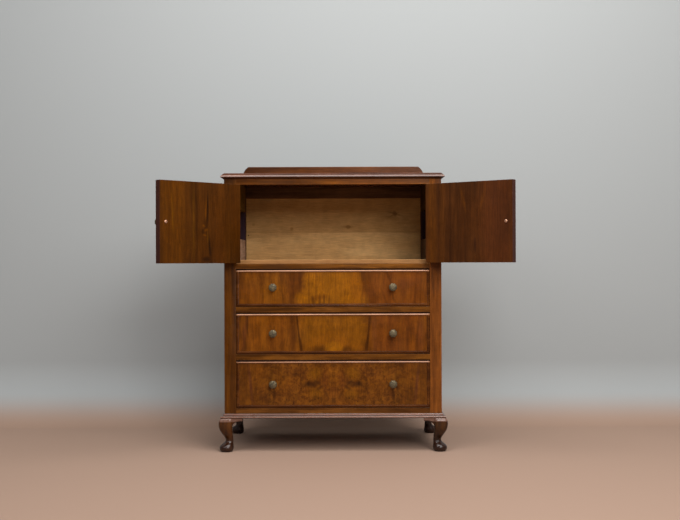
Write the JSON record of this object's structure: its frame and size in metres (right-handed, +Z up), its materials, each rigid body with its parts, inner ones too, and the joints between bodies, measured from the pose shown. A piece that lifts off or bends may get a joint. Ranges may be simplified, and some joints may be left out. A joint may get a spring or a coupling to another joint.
{
  "type": "tallboy",
  "caption": "Tall chest of drawers with a double-door cupboard above long beaded drawers, a moulded top with a low back gallery, and short cabriole legs with pad feet.",
  "frame": {"origin": "on the floor, under the middle of the case", "axes": "+X to the right of someone facing the front, +Y from the front to the back, +Z up"},
  "size_m": [1.1965, 0.6911, 1.0355],
  "materials": {
    "top_walnut": "polished walnut, semi-gloss",
    "rail_walnut": "polished walnut, semi-gloss",
    "stile_walnut": "polished walnut, semi-gloss",
    "side_walnut": "polished walnut veneer, semi-gloss",
    "base_walnut": "polished walnut, semi-gloss",
    "leg_walnut": "dark polished wood, gloss",
    "door_veneer": "polished walnut veneer, semi-gloss",
    "drawer_veneer": "figured walnut veneer, semi-gloss",
    "bead_walnut": "polished walnut, semi-gloss",
    "inside_pine": "bare aged softwood, matt",
    "frame_softwood": "stained softwood, matt",
    "drawer_box_wood": "bare beech, matt",
    "thin_ply": "bare plywood, matt",
    "knob_brass": "aged brass, satin",
    "hinge_brass": "dull brass, satin"
  },
  "bodies": {
    "case": {"back_gallery": "top_walnut", "back_left_leg": "leg_walnut", "back_right_leg": "leg_walnut", "bottom_rail": "rail_walnut", "cupboard_back_boards": "inside_pine", "cupboard_floor": "inside_pine", "cupboard_rail": "rail_walnut", "drawer_back_panel": "thin_ply", "drawer_guides": "frame_softwood", "drawer_runners": "frame_softwood", "drawer_stops": "frame_softwood", "front_base_moulding": "base_walnut", "front_left_leg": "leg_walnut", "front_right_leg": "leg_walnut", "hinge_pins": "hinge_brass", "knee_brackets": "leg_walnut", "left_base_moulding": "base_walnut", "left_case_hinge_leaves": "hinge_brass", "left_front_stile": "stile_walnut", "left_side_panel": "side_walnut", "lower_drawer_rail": "rail_walnut", "rear_base_batten": "frame_softwood", "rear_posts": "frame_softwood", "right_base_moulding": "base_walnut", "right_case_hinge_leaves": "hinge_brass", "right_front_stile": "stile_walnut", "right_side_panel": "side_walnut", "side_rails": "frame_softwood", "top_back_rail": "frame_softwood", "top_board": "top_walnut", "top_front_rail": "rail_walnut", "upper_drawer_rail": "rail_walnut"},
    "left_door": {"left_door_bead": "bead_walnut", "left_door_hinge_leaves": "hinge_brass", "left_door_knob": "knob_brass", "left_door_knob_screw": "knob_brass", "left_door_panel": "door_veneer"},
    "right_door": {"right_door_bead": "bead_walnut", "right_door_hinge_leaves": "hinge_brass", "right_door_knob": "knob_brass", "right_door_knob_screw": "knob_brass", "right_door_panel": "door_veneer"},
    "upper_drawer": {"upper_drawer_back": "drawer_box_wood", "upper_drawer_bead": "bead_walnut", "upper_drawer_bottom": "thin_ply", "upper_drawer_front": "drawer_veneer", "upper_drawer_knobs": "knob_brass", "upper_drawer_sides": "drawer_box_wood"},
    "middle_drawer": {"middle_drawer_back": "drawer_box_wood", "middle_drawer_bead": "bead_walnut", "middle_drawer_bottom": "thin_ply", "middle_drawer_front": "drawer_veneer", "middle_drawer_knobs": "knob_brass", "middle_drawer_sides": "drawer_box_wood"},
    "lower_drawer": {"lower_drawer_back": "drawer_box_wood", "lower_drawer_bead": "bead_walnut", "lower_drawer_bottom": "thin_ply", "lower_drawer_front": "drawer_veneer", "lower_drawer_knobs": "knob_brass", "lower_drawer_sides": "drawer_box_wood"}
  },
  "joints": [
    {"name": "left_door_hinge", "type": "hinge", "parent": "case", "child": "left_door", "pos_m": [-0.33937, -0.2195, 0.798], "axis": [0, 0, -1], "range_deg": [-135.5, 34.5]},
    {"name": "right_door_hinge", "type": "hinge", "parent": "case", "child": "right_door", "pos_m": [0.33937, -0.2195, 0.798], "axis": [0, 0, 1], "range_deg": [-143, 27]},
    {"name": "upper_drawer_slide", "type": "slide", "parent": "case", "child": "upper_drawer", "axis": [0, -1, 0], "range_m": [0, 0.3]},
    {"name": "middle_drawer_slide", "type": "slide", "parent": "case", "child": "middle_drawer", "axis": [0, -1, 0], "range_m": [0, 0.3]},
    {"name": "lower_drawer_slide", "type": "slide", "parent": "case", "child": "lower_drawer", "axis": [0, -1, 0], "range_m": [0, 0.3]}
  ]
}
